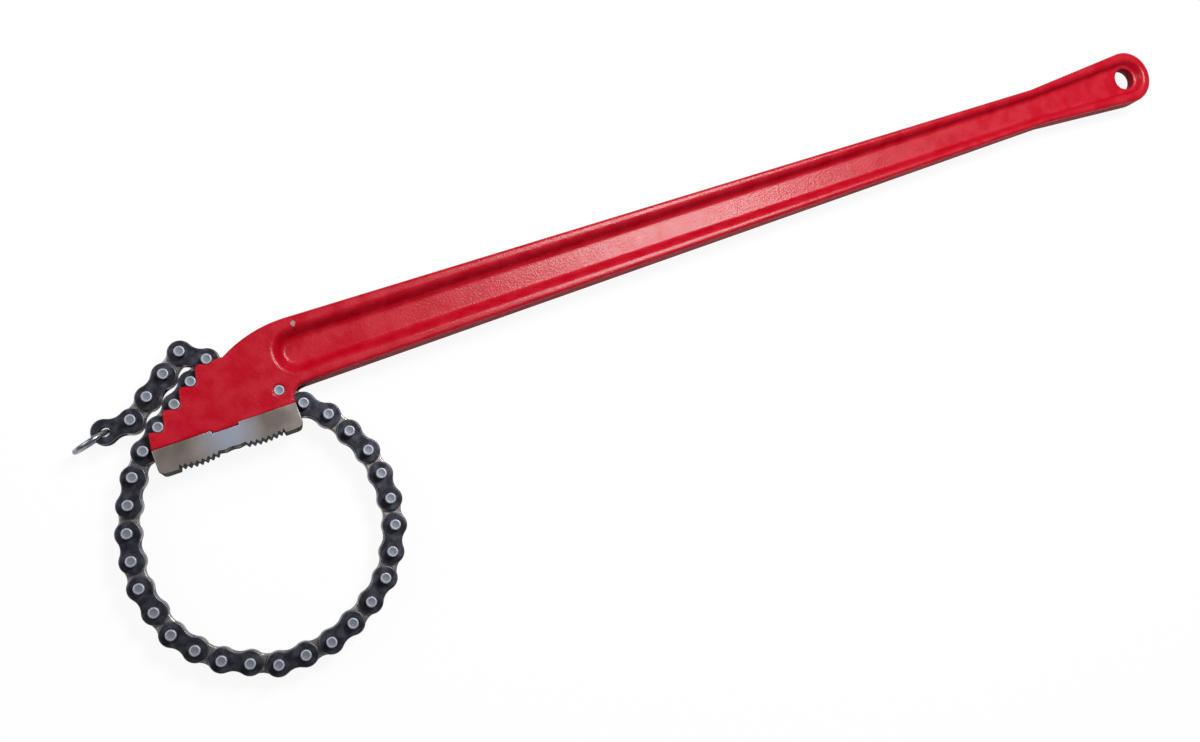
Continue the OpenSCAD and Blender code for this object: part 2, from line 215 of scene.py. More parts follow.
@dataclass(frozen=True)
class ForgedPaint(Finish):
    """Red enamel sprayed on a forging."""

    # To the eye: a deep red, faintly blotched, with wide soft lights, a pebbled skin and edges that the
    # paint has run round. The upright sides of the forging get a darker red as painted shade and are also
    # duller, and a few chips show grey steel.
    deep: str = "#AB041C"
    bright: str = "#B21326"
    # Darker red painted on the upright sides as painted shade
    shade: str = "#8E0C18"
    steel: str = "#8D8B88"
    blotch_mm: float = 16
    blotch_span: Span = (0.42, 0.62)
    side_slope: Span = (0.08, 0.25)
    chip_mm: float = 5
    chip_area_mm: float = 90
    chip_span: Span = (0.53, 0.55)
    scar_mm: float = 2.6
    scar_ragged: float = 2.0
    scar_span: Span = (1.7, 2.0)
    # Real orange peel is finer than a millimetre, and is drawn coarser so that it shows
    peel_mm: float = 2.0
    peel_depth_mm: float = 0.25
    peel_strength: float = 0.7
    dent_mm: float = 26
    dent_depth_mm: float = 0.5
    dent_strength: float = 0.5
    melt_mm: float = 4
    melt_samples: int = 8
    gloss_span: Span = (0.3, 0.7)
    roughness: Span = (0.26, 0.38)
    side_dulling: float = 0.4
    specular: float = 0.18
    coat: float = 0.12
    coat_roughness: float = 0.12

    def chips(self, tree: NodeTree, place: Socket, scar_place: Vector) -> Socket:
        """Adds a mask of the places where the enamel has come off.

        Args:
            tree: The node tree that gets the nodes.
            place: Socket of the object coordinates.
            scar_place: Middle of the one larger chip.

        Returns:
            The mask's socket.
        """
        chip = add_node(
            tree, "ShaderNodeTexNoise", {"Vector": place, "Scale": per_mm(self.chip_mm), "Detail": 5.0}
        ).outputs["Fac"]
        area = add_node(
            tree,
            "ShaderNodeTexNoise",
            {"Vector": place, "Scale": per_mm(self.chip_area_mm), "Detail": 1.0},
        ).outputs["Fac"]
        both = add_node(tree, "ShaderNodeMath", {0: chip, 1: area}, operation="MULTIPLY").outputs[0]
        flecks = add_node(
            tree,
            "ShaderNodeMapRange",
            {"Value": both, "From Min": self.chip_span[0], "From Max": self.chip_span[1]},
        ).outputs["Result"]
        away = add_node(
            tree, "ShaderNodeVectorMath", {0: place, 1: scar_place}, operation="DISTANCE"
        ).outputs["Value"]
        scar_size = self.scar_mm * MM
        ragged = add_node(
            tree,
            "ShaderNodeMath",
            {0: chip, 1: self.scar_ragged * scar_size, 2: away},
            operation="MULTIPLY_ADD",
        ).outputs[0]
        scar = add_node(
            tree,
            "ShaderNodeMapRange",
            {
                "Value": ragged,
                "From Min": self.scar_span[0] * scar_size,
                "From Max": self.scar_span[1] * scar_size,
                "To Min": 1.0,
                "To Max": 0.0,
            },
        ).outputs["Result"]
        return add_node(tree, "ShaderNodeMath", {0: flecks, 1: scar}, operation="MAXIMUM").outputs[0]

    def relief(self, tree: NodeTree, place: Socket) -> Socket:
        """Adds the paint's skin: orange peel on shallow dents, over edges that the paint has softened.

        Args:
            tree: The node tree that gets the nodes.
            place: Socket of the object coordinates.

        Returns:
            The socket of the surface's normal.
        """
        peel = add_node(
            tree, "ShaderNodeTexNoise", {"Vector": place, "Scale": per_mm(self.peel_mm), "Detail": 2.0}
        ).outputs["Fac"]
        dent = add_node(
            tree, "ShaderNodeTexNoise", {"Vector": place, "Scale": per_mm(self.dent_mm), "Detail": 2.0}
        ).outputs["Fac"]
        melted = add_node(
            tree, "ShaderNodeBevel", {"Radius": self.melt_mm * MM}, samples=self.melt_samples
        ).outputs["Normal"]
        waves = add_node(
            tree,
            "ShaderNodeBump",
            {
                "Height": dent,
                "Strength": self.dent_strength,
                "Distance": self.dent_depth_mm * MM,
                "Normal": melted,
            },
        ).outputs["Normal"]
        return add_node(
            tree,
            "ShaderNodeBump",
            {
                "Height": peel,
                "Strength": self.peel_strength,
                "Distance": self.peel_depth_mm * MM,
                "Normal": waves,
            },
        ).outputs["Normal"]

    def build(self, scar_place: Vector) -> Material:
        """Makes the material.

        Args:
            scar_place: Middle of the one larger chip.

        Returns:
            The material.
        """
        material, tree, surface, place = self.start()
        blotch = add_node(
            tree, "ShaderNodeTexNoise", {"Vector": place, "Scale": per_mm(self.blotch_mm), "Detail": 4.0}
        ).outputs["Fac"]
        soft = add_node(
            tree,
            "ShaderNodeMapRange",
            {"Value": blotch, "From Min": self.blotch_span[0], "From Max": self.blotch_span[1]},
        ).outputs["Result"]
        # Mask of the upright sides, which get painted shade in their colour and duller paint with less
        # coat
        side = steepness(tree, *self.side_slope)
        bare = self.chips(tree, place, scar_place)
        colour = self.layered(
            tree, self.deep, [(soft, self.bright), (side, self.shade), (bare, self.steel)]
        )
        gloss = add_node(
            tree,
            "ShaderNodeMapRange",
            {
                "Value": blotch,
                "From Min": self.gloss_span[0],
                "From Max": self.gloss_span[1],
                "To Min": self.roughness[0],
                "To Max": self.roughness[1],
            },
        ).outputs["Result"]
        dull = add_node(
            tree, "ShaderNodeMath", {0: side, 1: self.side_dulling, 2: gloss}, operation="MULTIPLY_ADD"
        ).outputs[0]
        coat = add_node(
            tree, "ShaderNodeMapRange", {"Value": side, "To Min": self.coat, "To Max": 0.0}
        ).outputs["Result"]
        skin = self.relief(tree, place)
        feed(
            tree,
            surface,
            {
                "Base Color": colour,
                "Roughness": dull,
                "Normal": skin,
                "Coat Normal": skin,
                "Coat Weight": coat,
                "Specular IOR Level": self.specular,
                "Coat Roughness": self.coat_roughness,
            },
        )
        return material


@dataclass(frozen=True)
class GroundSteel(Finish):
    """Hardened tool steel, ground on its flat faces."""

    # To the eye: a brownish grey satin with long fine lines and a lighter bluish patch round the key. The
    # faces that were not ground, the teeth's too, are matt black with scale.
    ground: str = "#9A918A"
    grey: str = "#746B65"
    blue: str = "#9EA4B2"
    scale: str = "#1C1B1A"
    cloud_mm: float = 30
    cloud_span: Span = (0.35, 0.65)
    tint_reach_mm: float = 30
    tint_ragged: float = 0.5
    tint_span: Span = (0.55, 1.35)
    edge_slope: Span = (0.2, 0.5)
    # Real grinding lines are about a tenth of this, and are drawn coarser so that they show
    line_mm: float = 0.9
    line_stretch: Place = (0.03, 1.0, 1.0)
    line_depth_mm: float = 0.05
    line_strength: float = 0.25
    roughness: Span = (0.4, 0.8)
    metallic: Span = (0.9, 0.3)
    specular: float = 0.25

    def tint(self, tree: NodeTree, place: Socket, cloud: Socket, tint_place: Vector) -> Socket:
        """Adds a mask of the blue tint, with a ragged border.

        Args:
            tree: The node tree that gets the nodes.
            place: Socket of the object coordinates.
            cloud: Socket of the pattern that frays the border.
            tint_place: Middle of the tint.

        Returns:
            The mask's socket.
        """
        reach = self.tint_reach_mm * MM
        away = add_node(
            tree, "ShaderNodeVectorMath", {0: place, 1: tint_place}, operation="DISTANCE"
        ).outputs["Value"]
        ragged = add_node(
            tree,
            "ShaderNodeMath",
            {0: cloud, 1: self.tint_ragged * reach, 2: away},
            operation="MULTIPLY_ADD",
        ).outputs[0]
        return add_node(
            tree,
            "ShaderNodeMapRange",
            {
                "Value": ragged,
                "From Min": self.tint_span[0] * reach,
                "From Max": self.tint_span[1] * reach,
                "To Min": 1.0,
                "To Max": 0.0,
            },
        ).outputs["Result"]

    def build(self, tint_place: Vector) -> Material:
        """Makes the material.

        Args:
            tint_place: Middle of the blue tint.

        Returns:
            The material.
        """
        material, tree, surface, place = self.start()
        cloud = add_node(
            tree, "ShaderNodeTexNoise", {"Vector": place, "Scale": per_mm(self.cloud_mm), "Detail": 3.0}
        ).outputs["Fac"]
        soft = add_node(
            tree,
            "ShaderNodeMapRange",
            {"Value": cloud, "From Min": self.cloud_span[0], "From Max": self.cloud_span[1]},
        ).outputs["Result"]
        near = self.tint(tree, place, cloud, tint_place)
        edge = steepness(tree, *self.edge_slope)
        colour = self.layered(
            tree, self.grey, [(soft, self.ground), (near, self.blue), (edge, self.scale)]
        )
        drawn_out = add_node(
            tree, "ShaderNodeMapping", {"Vector": place, "Scale": self.line_stretch}
        ).outputs["Vector"]
        lines = add_node(
            tree, "ShaderNodeTexNoise", {"Vector": drawn_out, "Scale": per_mm(self.line_mm), "Detail": 2.0}
        ).outputs["Fac"]
        grain = add_node(
            tree,
            "ShaderNodeBump",
            {"Height": lines, "Strength": self.line_strength, "Distance": self.line_depth_mm * MM},
        ).outputs["Normal"]
        dull = add_node(
            tree,
            "ShaderNodeMapRange",
            {"Value": edge, "To Min": self.roughness[0], "To Max": self.roughness[1]},
        ).outputs["Result"]
        metal = add_node(
            tree,
            "ShaderNodeMapRange",
            {"Value": edge, "To Min": self.metallic[0], "To Max": self.metallic[1]},
        ).outputs["Result"]
        feed(
            tree,
            surface,
            {
                "Base Color": colour,
                "Roughness": dull,
                "Normal": grain,
                "Metallic": metal,
                "Specular IOR Level": self.specular,
            },
        )
        return material


@dataclass(frozen=True)
class OxideSteel(Finish):
    """Steel blackened in a bath of salts, with a film of oil."""

    # To the eye: near black with a bluish bloom where it is rubbed, a patchy painted highlight in light
    # grey along the rounded rims, a low oily gloss and a few specks of rust.
    black: str = "#2C2C35"
    rubbed: str = "#4C4D58"
    # Light grey painted along the rounded rims as a painted highlight
    grey: str = "#8A8E99"
    rust: str = "#6A3128"
    cloud_mm: float = 9
    cloud_span: Span = (0.4, 0.72)
    speck_mm: float = 2.2
    speck_span: Span = (0.68, 0.74)
    speck_share: float = 0.8
    rim_slope: Span = (0.75, 0.97)
    side_slope: Span = (0.1, 0.4)
    # Least share of the painted highlight on the rims, where the cloud is low
    least_rim_highlight: float = 0.45
    # Real pits are about a quarter of this, and are drawn coarser so that they show
    pit_mm: float = 0.8
    pit_depth_mm: float = 0.06
    pit_strength: float = 0.3
    gloss_span: Span = (0.3, 0.7)
    roughness: Span = (0.3, 0.42)
    metallic: float = 0.7

    def rim_highlight_mask(self, tree: NodeTree, soft: Socket) -> Socket:
        """Adds a mask of the painted highlight on the rounded rims, which lie between the level faces and
        the upright ones.

        Args:
            tree: The node tree that gets the nodes.
            soft: Socket of the pattern that makes the painted highlight patchy.

        Returns:
            The mask's socket.
        """
        turned = add_node(
            tree,
            "ShaderNodeMath",
            {0: steepness(tree, *self.rim_slope), 1: steepness(tree, *self.side_slope)},
            operation="SUBTRACT",
        ).outputs[0]
        share = add_node(
            tree, "ShaderNodeMath", {0: soft, 1: self.least_rim_highlight}, operation="MAXIMUM"
        ).outputs[0]
        return add_node(tree, "ShaderNodeMath", {0: turned, 1: share}, operation="MULTIPLY").outputs[0]

    def build(self) -> Material:
        """Makes the material.

        Returns:
            The material.
        """
        material, tree, surface, place = self.start()
        cloud = add_node(
            tree, "ShaderNodeTexNoise", {"Vector": place, "Scale": per_mm(self.cloud_mm), "Detail": 4.0}
        ).outputs["Fac"]
        soft = add_node(
            tree,
            "ShaderNodeMapRange",
            {"Value": cloud, "From Min": self.cloud_span[0], "From Max": self.cloud_span[1]},
        ).outputs["Result"]
        speck = add_node(
            tree, "ShaderNodeTexNoise", {"Vector": place, "Scale": per_mm(self.speck_mm), "Detail": 3.0}
        ).outputs["Fac"]
        rusty = add_node(
            tree,
            "ShaderNodeMapRange",
            {
                "Value": speck,
                "From Min": self.speck_span[0],
                "From Max": self.speck_span[1],
                "To Max": self.speck_share,
            },
        ).outputs["Result"]
        # Light grey painted on the rounded rims, a painted highlight
        rim_highlight = self.rim_highlight_mask(tree, soft)
        colour = self.layered(
            tree, self.black, [(soft, self.rubbed), (rusty, self.rust), (rim_highlight, self.grey)]
        )
        pits = add_node(
            tree, "ShaderNodeTexNoise", {"Vector": place, "Scale": per_mm(self.pit_mm), "Detail": 3.0}
        ).outputs["Fac"]
        skin = add_node(
            tree,
            "ShaderNodeBump",
            {"Height": pits, "Strength": self.pit_strength, "Distance": self.pit_depth_mm * MM},
        ).outputs["Normal"]
        gloss = add_node(
            tree,
            "ShaderNodeMapRange",
            {
                "Value": cloud,
                "From Min": self.gloss_span[0],
                "From Max": self.gloss_span[1],
                "To Min": self.roughness[0],
                "To Max": self.roughness[1],
            },
        ).outputs["Result"]
        feed(
            tree,
            surface,
            {"Base Color": colour, "Roughness": gloss, "Normal": skin, "Metallic": self.metallic},
        )
        return material


@dataclass(frozen=True)
class BareSteel(Finish):
    """Rolled or drawn steel, bare and oiled."""

    # To the eye: a plain grey metal with darker stains and a soft gleam
    clean: str = "#A9A5A1"
    stained: str = "#6B6866"
    stain_mm: float = 7
    stain_span: Span = (0.36, 0.66)
    # Real pits are about a quarter of this, and are drawn coarser so that they show
    pit_mm: float = 0.9
    pit_depth_mm: float = 0.05
    pit_strength: float = 0.25
    metallic: float = 0.9
    roughness: float = 0.4

    def build(self) -> Material:
        """Makes the material.

        Returns:
            The material.
        """
        material, tree, surface, place = self.start()
        stain = add_node(
            tree, "ShaderNodeTexNoise", {"Vector": place, "Scale": per_mm(self.stain_mm), "Detail": 4.0}
        ).outputs["Fac"]
        soft = add_node(
            tree,
            "ShaderNodeMapRange",
            {"Value": stain, "From Min": self.stain_span[0], "From Max": self.stain_span[1]},
        ).outputs["Result"]
        colour = self.layered(tree, self.stained, [(soft, self.clean)])
        pits = add_node(
            tree, "ShaderNodeTexNoise", {"Vector": place, "Scale": per_mm(self.pit_mm), "Detail": 2.0}
        ).outputs["Fac"]
        skin = add_node(
            tree,
            "ShaderNodeBump",
            {"Height": pits, "Strength": self.pit_strength, "Distance": self.pit_depth_mm * MM},
        ).outputs["Normal"]
        feed(
            tree,
            surface,
            {"Base Color": colour, "Normal": skin, "Metallic": self.metallic, "Roughness": self.roughness},
        )
        return material


@dataclass(frozen=True)
class RivetSteel(Finish):
    """Steel rod, cropped and headed cold."""

    # To the eye: each end is a dull, grainy grey disc in a thin bright rim, and the shank is darker
    rim: str = "#AEB1BC"
    middle: str = "#7A808C"
    shank: str = "#55565C"
    shank_slope: Span = (0.1, 0.5)
    # The real grain of a cropped end is about a third of this, and is drawn coarser so that it shows
    grain_mm: float = 1.1
    grain_span: Span = (0.3, 0.7)
    grain_shade: Span = (0.78, 1.08)
    grain_depth_mm: float = 0.08
    grain_strength: float = 0.3
    metallic: float = 0.65
    roughness: float = 0.5

    def build(self) -> Material:
        """Makes the material.

        Returns:
            The material.
        """
        material, tree, surface, place = self.start()
        share = add_node(
            tree, "ShaderNodeAttribute", attribute_type="GEOMETRY", attribute_name=Pin.RIM
        ).outputs["Fac"]
        side = steepness(tree, *self.shank_slope)
        plain = self.layered(tree, self.middle, [(share, self.rim), (side, self.shank)])
        grain = add_node(
            tree, "ShaderNodeTexNoise", {"Vector": place, "Scale": per_mm(self.grain_mm), "Detail": 3.0}
        ).outputs["Fac"]
        shade = add_node(
            tree,
            "ShaderNodeMapRange",
            {
                "Value": grain,
                "From Min": self.grain_span[0],
                "From Max": self.grain_span[1],
                "To Min": self.grain_shade[0],
                "To Max": self.grain_shade[1],
            },
        ).outputs["Result"]
        colour = add_node(
            tree, "ShaderNodeVectorMath", {0: plain, "Scale": shade}, operation="SCALE"
        ).outputs["Vector"]
        skin = add_node(
            tree,
            "ShaderNodeBump",
            {"Height": grain, "Strength": self.grain_strength, "Distance": self.grain_depth_mm * MM},
        ).outputs["Normal"]
        feed(
            tree,
            surface,
            {"Base Color": colour, "Normal": skin, "Metallic": self.metallic, "Roughness": self.roughness},
        )
        return material


def new_object(name: str, mesh: Mesh) -> Object:
    """Puts a mesh into the scene as an object at the origin.

    Args:
        name: Name of the object.
        mesh: Its mesh.

    Returns:
        The object.
    """
    made = bpy.data.objects.new(name, mesh)
    bpy.context.scene.collection.objects.link(made)
    return made


def settle(piece: Object, crease_deg: float) -> None:
    """Turns what the piece's modifiers make into its own mesh, shaded smooth.

    Args:
        piece: The object to settle.
        crease_deg: Edges that bend more than this stay sharp.
    """
    graph = bpy.context.evaluated_depsgraph_get()
    made = bpy.data.meshes.new_from_object(
        piece.evaluated_get(graph), preserve_all_data_layers=True, depsgraph=graph
    )
    piece.modifiers.clear()
    piece.data = made
    made.shade_smooth()
    made.set_sharp_from_angle(angle=math.radians(crease_deg))


def hand_over(piece: Object, body: str, slot: str, *nodes: str) -> None:
    """Ties a finished piece to its body, hides the solids that it stands for, and reports it.

    Args:
        piece: The finished piece.
        body: The body that carries it.
        slot: Its material slot; not used.
        nodes: The solids that it stands for.
    """
    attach(piece, body)
    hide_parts(*nodes)
    LOG.info("%s: %d faces on %s", piece.name, len(piece.data.polygons), body)


@dataclass(frozen=True)
class RoundedCopy:
    """A copy of a solid's mesh, with its triangles joined into faces and its edges rounded.

    A face is level where its normal stands higher than the given height. An edge is a corner where its two
    faces bend more than the given angle.
    """

    name: str
    node: str
    width: float
    weight: EdgeWeight
    crease_deg: float = 30
    level: float = 0.9995
    corner: float = math.radians(25)
    # Two level faces that lie this near to flat, or to back on back, are joined
    fold: float = math.radians(0.5)
    flat: float = math.radians(0.05)
    merge: float = 0.002 * MM
    sliver: float = 0.02 * MM
    full_share: float = 0.9
    segments: int = 3

    def join_triangles(self, work: WorkMesh) -> None:
        """Merges the loose triangles and joins those that lie in one plane, also where they fold back.

        Args:
            work: The mesh to join.
        """
        bmesh.ops.remove_doubles(work, verts=work.verts, dist=self.merge)
        bmesh.ops.dissolve_degenerate(work, dist=self.sliver, edges=work.edges)
        folds = [
            edge
            for edge in work.edges
            if min(abs(face.normal.z) for face in edge.link_faces) > self.level
            and not self.fold < edge.calc_face_angle(0) < math.pi - self.fold
        ]
        bmesh.ops.dissolve_edges(work, edges=folds, use_verts=False)
        bmesh.ops.dissolve_limit(work, angle_limit=self.flat, verts=work.verts, edges=work.edges)

    def is_corner(self, edge: Edge) -> bool:
        """Whether two faces meet at an angle along the edge."""
        return edge.calc_face_angle(0) > self.corner

    def weigh_edges(self, work: WorkMesh) -> None:
        """Closes the edges that are too short to round and gives the other corners their weight.

        Args:
            work: The mesh to weigh.
        """
        short = [
            edge
            for edge in work.edges
            if edge.calc_length() < self.width
            and self.is_corner(edge)
            and self.weight(edge) > self.full_share
        ]
        bmesh.ops.collapse(work, edges=short)
        layer = work.edges.layers.float.new("bevel_weight_edge")
        for edge in work.edges:
            if self.is_corner(edge):
                edge[layer] = self.weight(edge)

    def build(self) -> Object:
        """Makes the piece, within the height of its solid.

        Returns:
            The new piece, without a material.
        """
        mesh = frame["nodes"][self.node].data.copy()
        mesh.materials.clear()
        work = bmesh.new()
        work.from_mesh(mesh)
        self.join_triangles(work)
        self.weigh_edges(work)
        work.to_mesh(mesh)
        work.free()
        piece = new_object(self.name, mesh)
        rounding = piece.modifiers.new("rounded edges", "BEVEL")
        rounding.limit_method = "WEIGHT"
        rounding.width = self.width
        rounding.segments = self.segments
        rounding.use_clamp_overlap = False
        settle(piece, self.crease_deg)
        low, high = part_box(self.node)
        for vert in piece.data.vertices:
            vert.co.z = min(max(vert.co.z, low.z), high.z)
        for face in piece.data.polygons:
            face.use_smooth = abs(face.normal.z) < self.level
        return piece


@dataclass
class Handle:
    """The forging: head, neck, flanged handle and hang hole, with rounded edges."""

    finish: ForgedPaint
    flange_round: float = 2.8 * MM
    # Beyond the neck the round of the outer edges shrinks along this run, but not below the head's share
    head_share: float = 0.25
    neck_x: float = -1.005
    neck_run: float = 80 * MM
    # Edges nearer than this to the middle of the thickness belong to the slot or the floor of the recess
    slot_z: float = 10 * MM
    hole_reach: float = 14 * MM
    bore_reach: float = 7 * MM
    level_slope: float = 0.9
    upright_slope: float = 0.1
    scar: Place = (-0.998, 0.0245, 0.0188)

    def edge_weight(self, edge: Edge) -> float:
        """Share of the full round that an edge of the forging gets.

        Args:
            edge: An edge where two faces meet at an angle.

        Returns:
            One on the flanges and round the mouth of the recess, less on the head, and none in the hang
            hole, the hinge's bore and the slot or along the floor of the recess.
        """
        middle = (edge.verts[0].co + edge.verts[1].co) / 2
        hinge = Vector(frame["joints"][0]["pos_m"])
        slopes = sorted(abs(face.normal.z) for face in edge.link_faces)
        in_hole = math.hypot(middle.x, middle.y) < self.hole_reach
        in_bore = math.hypot(middle.x - hinge.x, middle.y - hinge.y) < self.bore_reach
        in_slot = min(abs(vert.co.z) for vert in edge.verts) < self.slot_z
        if in_hole or in_bore or in_slot or slopes[1] < self.level_slope:
            return 0.0
        if slopes[0] > self.upright_slope:
            return 1.0
        share = (middle.x - self.neck_x) / self.neck_run + 1
        return min(1.0, max(self.head_share, share))

    def build(self) -> None:
        """Makes, dresses and ties the handle."""
        piece = RoundedCopy("forged_handle", "handle", self.flange_round, self.edge_weight).build()
        piece.data.materials.append(self.finish.build(Vector(self.scar)))
        hand_over(piece, ROOT_BODY, self.finish.slot, "handle")


@dataclass
class Jaw:
    """The toothed jaw and the screw that holds it."""

    finish: GroundSteel
    screw_finish: OxideSteel
    edge_round: float = 0.7 * MM
    face_gap: float = 0.1 * MM
    end_reach: float = 9 * MM
    key_depth: float = 8 * MM
    screw_round: float = 0.5 * MM
    screw_share: float = 0.6

    def edge_weight(self, edge: Edge) -> float:
        """Share of the full round that an edge of the jaw gets.

        Args:
            edge: An edge where two faces meet at an angle.

        Returns:
            One round the flat faces, and none along the teeth.
        """
        low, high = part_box("jaw")
        middle = (edge.verts[0].co + edge.verts[1].co) / 2
        if abs(abs(middle.z) - high.z) > self.face_gap:
            return 0.0
        inside = low.x + self.end_reach < middle.x < high.x - self.end_reach
        return 0.0 if inside and middle.y < low.y + self.key_depth else 1.0

    def build(self) -> None:
        """Makes, dresses and ties the jaw and its screw."""
        low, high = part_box("jaw")
        tint = Vector(((low.x + high.x) / 2, high.y - self.key_depth, high.z))
        jaw = RoundedCopy("toothed_jaw", "jaw", self.edge_round, self.edge_weight).build()
        jaw.data.materials.append(self.finish.build(tint))
        hand_over(jaw, ROOT_BODY, self.finish.slot, "jaw")
        screw = RoundedCopy(
            "jaw_socket_screw", "jaw_screw", self.screw_round, lambda edge: self.screw_share
        ).build()
        screw.data.materials.append(self.screw_finish.build())
        hand_over(screw, ROOT_BODY, self.screw_finish.slot, "jaw_screw")


@dataclass
class Pin:
    """A chain pin with a dished middle and a bright rim at each end."""

    RIM: ClassVar[str] = "rim"
    # Points of the rounded corner: shares of the chamfer outwards and down, and the share of rim there
    CORNER: ClassVar[tuple[Place, ...]] = (
        (0.25, 0.12, 1.0),
        (0.75, 0.62, 0.7),
        (1.0, 1.1, 0.0),
        (1.0, 2.2, 0.0),
    )

    radius: float = 5.15 * MM
    half_length: float = 19 * MM
    chamfer: float = 0.75 * MM
    rim_width: float = 0.8 * MM
    dish: float = 0.1 * MM
    dish_run: float = 0.45 * MM
    lip: float = 0.1 * MM
    lip_drop: float = 0.4
    lip_rim: float = 0.3
    sides: int = 40

    def half_profile(self) -> list[Place]:
        """Profile of the pin's upper half, from the dished middle over the rim to the shank.

        Returns:
            Radius, height and share of rim of each point.
        """
        top = self.half_length
        rim_out = self.radius - self.chamfer
        rim_in = rim_out - self.rim_width
        end = [
            (rim_in - self.dish_run, top - self.dish, 0.0),
            (rim_in - self.lip, top - self.lip_drop * self.dish, self.lip_rim),
            (rim_in + 2 * self.lip, top, 1.0),
            (rim_out - self.lip, top, 1.0),
        ]
        corner = [
            (rim_out + out * self.chamfer, top - down * self.chamfer, share)
            for out, down, share in self.CORNER
        ]
        return end + corner

    def mesh(self) -> Mesh:
        """Makes the pin about the origin, with the share of rim as an attribute.

        Returns:
            A closed mesh.
        """
        upper = self.half_profile()
        profile = upper + [(r, -z, share) for r, z, share in reversed(upper)]
        work = bmesh.new()
        layer = work.verts.layers.float.new(self.RIM)
        rings = []
        for radius, height, share in profile:
            ring = []
            for i in range(self.sides):
                turn = 2 * math.pi * i / self.sides
                vert = work.verts.new((radius * math.cos(turn), radius * math.sin(turn), height))
                vert[layer] = share
                ring.append(vert)
            rings.append(ring)
        for above, below in zip(rings, rings[1:]):
            for i in range(self.sides):
                j = (i + 1) % self.sides
                work.faces.new((above[i], below[i], below[j], above[j]))
        work.faces.new(rings[0])
        work.faces.new(list(reversed(rings[-1])))
        bmesh.ops.recalc_face_normals(work, faces=work.faces)
        mesh = bpy.data.meshes.new("pin")
        work.to_mesh(mesh)
        work.free()
        return mesh


@dataclass
class Plate:
    """A waisted link plate with rounded edges and two holes."""

    pitch: float
    thickness: float
    hole_radius: float
    height: float = 24 * MM
    waist: float = 17.5 * MM
    edge_round: float = 1.5 * MM
    # A ring this far inside the rounded edge keeps the shading of the flat face flat
    support: float = 0.35 * MM
    round_steps: int = 20
    waist_steps: int = 8
    edge_steps: int = 4

    def outline(self, inset: float) -> list[Point]:
        """Outline of the plate, moved inwards.

        Args:
            inset: How far in from the plate's edge.

        Returns:
            Points anticlockwise, with the first hole at the origin.
        """
        end = self.height / 2
        half = self.pitch / 2
        waist_r = (half**2 + (self.waist / 2) ** 2 - end**2) / (2 * (end - self.waist / 2))
        mid = self.waist / 2 + waist_r
        turn = math.atan2(mid, half)
        arcs = [
            ((0, 0), end - inset, turn, 2 * math.pi - turn, self.round_steps),
            ((half, -mid), waist_r + inset, math.pi - turn, turn, self.waist_steps),
            ((self.pitch, 0), end - inset, turn - math.pi, math.pi - turn, self.round_steps),
            ((half, mid), waist_r + inset, -turn, turn - math.pi, self.waist_steps),
        ]
        points = []
        for (x, y), radius, start, stop, steps in arcs:
            for i in range(steps):
                angle = start + (stop - start) * i / steps
                points.append((x + radius * math.cos(angle), y + radius * math.sin(angle)))
        return points

    def hole(self, centre_x: float) -> list[Point]:
        """Outline of a hole.

        Args:
            centre_x: Where the hole is along the plate.

        Returns:
            Points anticlockwise.
        """
        sides = 2 * self.round_steps
        radius = self.hole_radius
        turns = [2 * math.pi * i / sides for i in range(sides)]
        return [(centre_x + radius * math.cos(turn), radius * math.sin(turn)) for turn in turns]

    def levels(self) -> list[Point]:
        """Rings that make the plate's rounded edge, from the flat top down to the flat bottom.

        Returns:
            Inset and height of each ring.
        """
        half = self.thickness / 2
        upper = [(self.edge_round + self.support, half)]
        for i in range(self.edge_steps + 1):
            turn = math.pi / 2 * (1 - i / self.edge_steps)
            inset = self.edge_round * (1 - math.cos(turn))
            drop = self.edge_round * (1 - math.sin(turn))
            upper.append((inset, half - drop))
        return upper + [(inset, -z) for inset, z in reversed(upper)]

    def mesh(self) -> Mesh:
        """Makes the plate about its own middle layer.

        Returns:
            A closed mesh with two through holes.
        """
        work = bmesh.new()
        half = self.thickness / 2
        stacks = [
            [[work.verts.new((x, y, z)) for x, y in self.outline(inset)] for inset, z in self.levels()]
        ]
        for centre_x in (0.0, self.pitch):
            points = self.hole(centre_x)
            stacks.append([[work.verts.new((x, y, z)) for x, y in points] for z in (half, -half)])
        for stack in stacks:
            for above, below in zip(stack, stack[1:]):
                for i, vert in enumerate(above):
                    j = (i + 1) % len(above)
                    work.faces.new((vert, below[i], below[j], above[j]))
        for end in (0, -1):
            loops = [stack[end] for stack in stacks]
            edges = [
                work.edges.get((loop[i], loop[(i + 1) % len(loop)]))
                for loop in loops
                for i in range(len(loop))
            ]
            bmesh.ops.triangle_fill(work, use_beauty=True, edges=edges)
        bmesh.ops.recalc_face_normals(work, faces=work.faces)
        mesh = bpy.data.meshes.new("plate")
        work.to_mesh(mesh)
        work.free()
        return mesh


